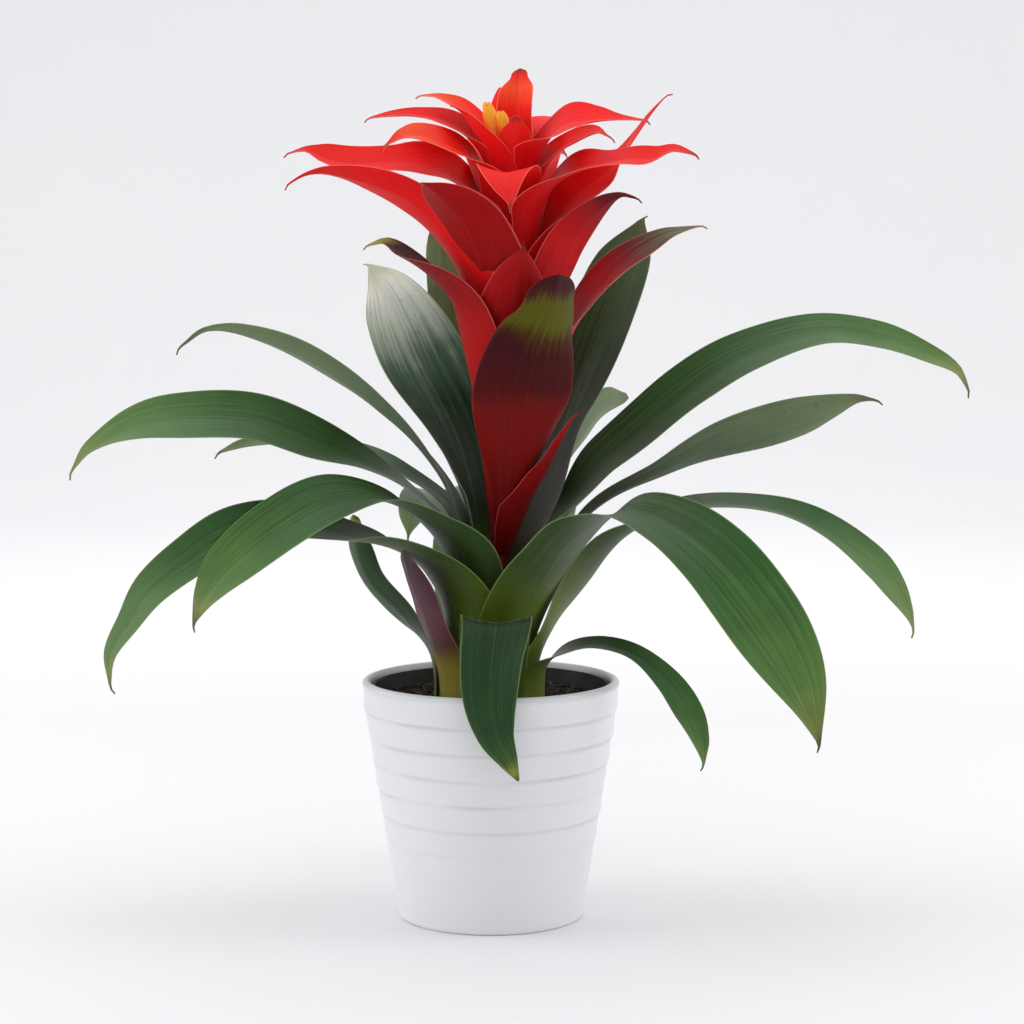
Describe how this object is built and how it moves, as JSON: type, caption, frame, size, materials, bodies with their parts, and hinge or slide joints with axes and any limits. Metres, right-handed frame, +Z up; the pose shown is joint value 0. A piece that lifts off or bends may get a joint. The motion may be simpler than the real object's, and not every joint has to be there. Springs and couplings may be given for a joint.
{
  "type": "potted bromeliad",
  "caption": "Red-bracted bromeliad with arching green strap leaves, growing in dark bark soil in a plain white tapered pot with softly banded sides.",
  "frame": {"origin": "centre of the pot's flat underside", "axes": "+Z up, -Y towards the side seen from the front, +X to the right in that view"},
  "size_m": [0.485, 0.3066, 0.4561],
  "materials": {
    "white_glaze": "satin",
    "dark_plastic": "matte",
    "bark_soil": "matte",
    "stem_green": "satin",
    "leaf_green": "satin",
    "bract_red": "satin",
    "flower_yellow": "satin"
  },
  "bodies": {
    "root": {"bract_crown_back": "bract_red", "bract_crown_left": "bract_red", "bract_crown_upright": "bract_red", "bract_cup_front": "bract_red", "bract_cup_front_left": "bract_red", "bract_flame": "bract_red", "bract_front_folded": "bract_red", "bract_front_left_cup": "bract_red", "bract_high_back": "bract_red", "bract_high_back_left": "bract_red", "bract_high_back_right": "bract_red", "bract_long_left": "bract_red", "bract_long_left_low": "bract_red", "bract_long_right": "bract_red", "bract_low_back": "bract_red", "bract_low_left": "bract_red", "bract_low_right": "bract_red", "bract_low_right_long": "bract_red", "bract_mid_back_left": "bract_red", "bract_mid_back_right": "bract_red", "bract_mid_front": "bract_red", "bract_mid_right": "bract_red", "bract_right_swept": "bract_red", "bract_top_back_right": "bract_red", "bract_top_left": "bract_red", "bract_top_left_low": "bract_red", "bract_top_right": "bract_red", "bract_top_right_low": "bract_red", "flower_bud": "flower_yellow", "flower_left": "flower_yellow", "flower_right": "flower_yellow", "leaf_back_left_low": "leaf_green", "leaf_back_low": "leaf_green", "leaf_back_right_low": "leaf_green", "leaf_back_short": "leaf_green", "leaf_back_upright": "leaf_green", "leaf_front_left": "leaf_green", "leaf_front_over_rim": "leaf_green", "leaf_front_right_broad": "leaf_green", "leaf_front_right_small": "leaf_green", "leaf_left_arch": "leaf_green", "leaf_left_back": "leaf_green", "leaf_left_drooping": "leaf_green", "leaf_left_slender": "leaf_green", "leaf_left_small": "leaf_green", "leaf_left_upright": "leaf_green", "leaf_purple_stub": "leaf_green", "leaf_right_arch": "leaf_green", "leaf_right_low_arch": "leaf_green", "leaf_right_spatulate": "leaf_green", "leaf_right_upright": "leaf_green", "nursery_pot": "dark_plastic", "pot": "white_glaze", "soil": "bark_soil", "stem": "stem_green"}
  },
  "joints": []
}
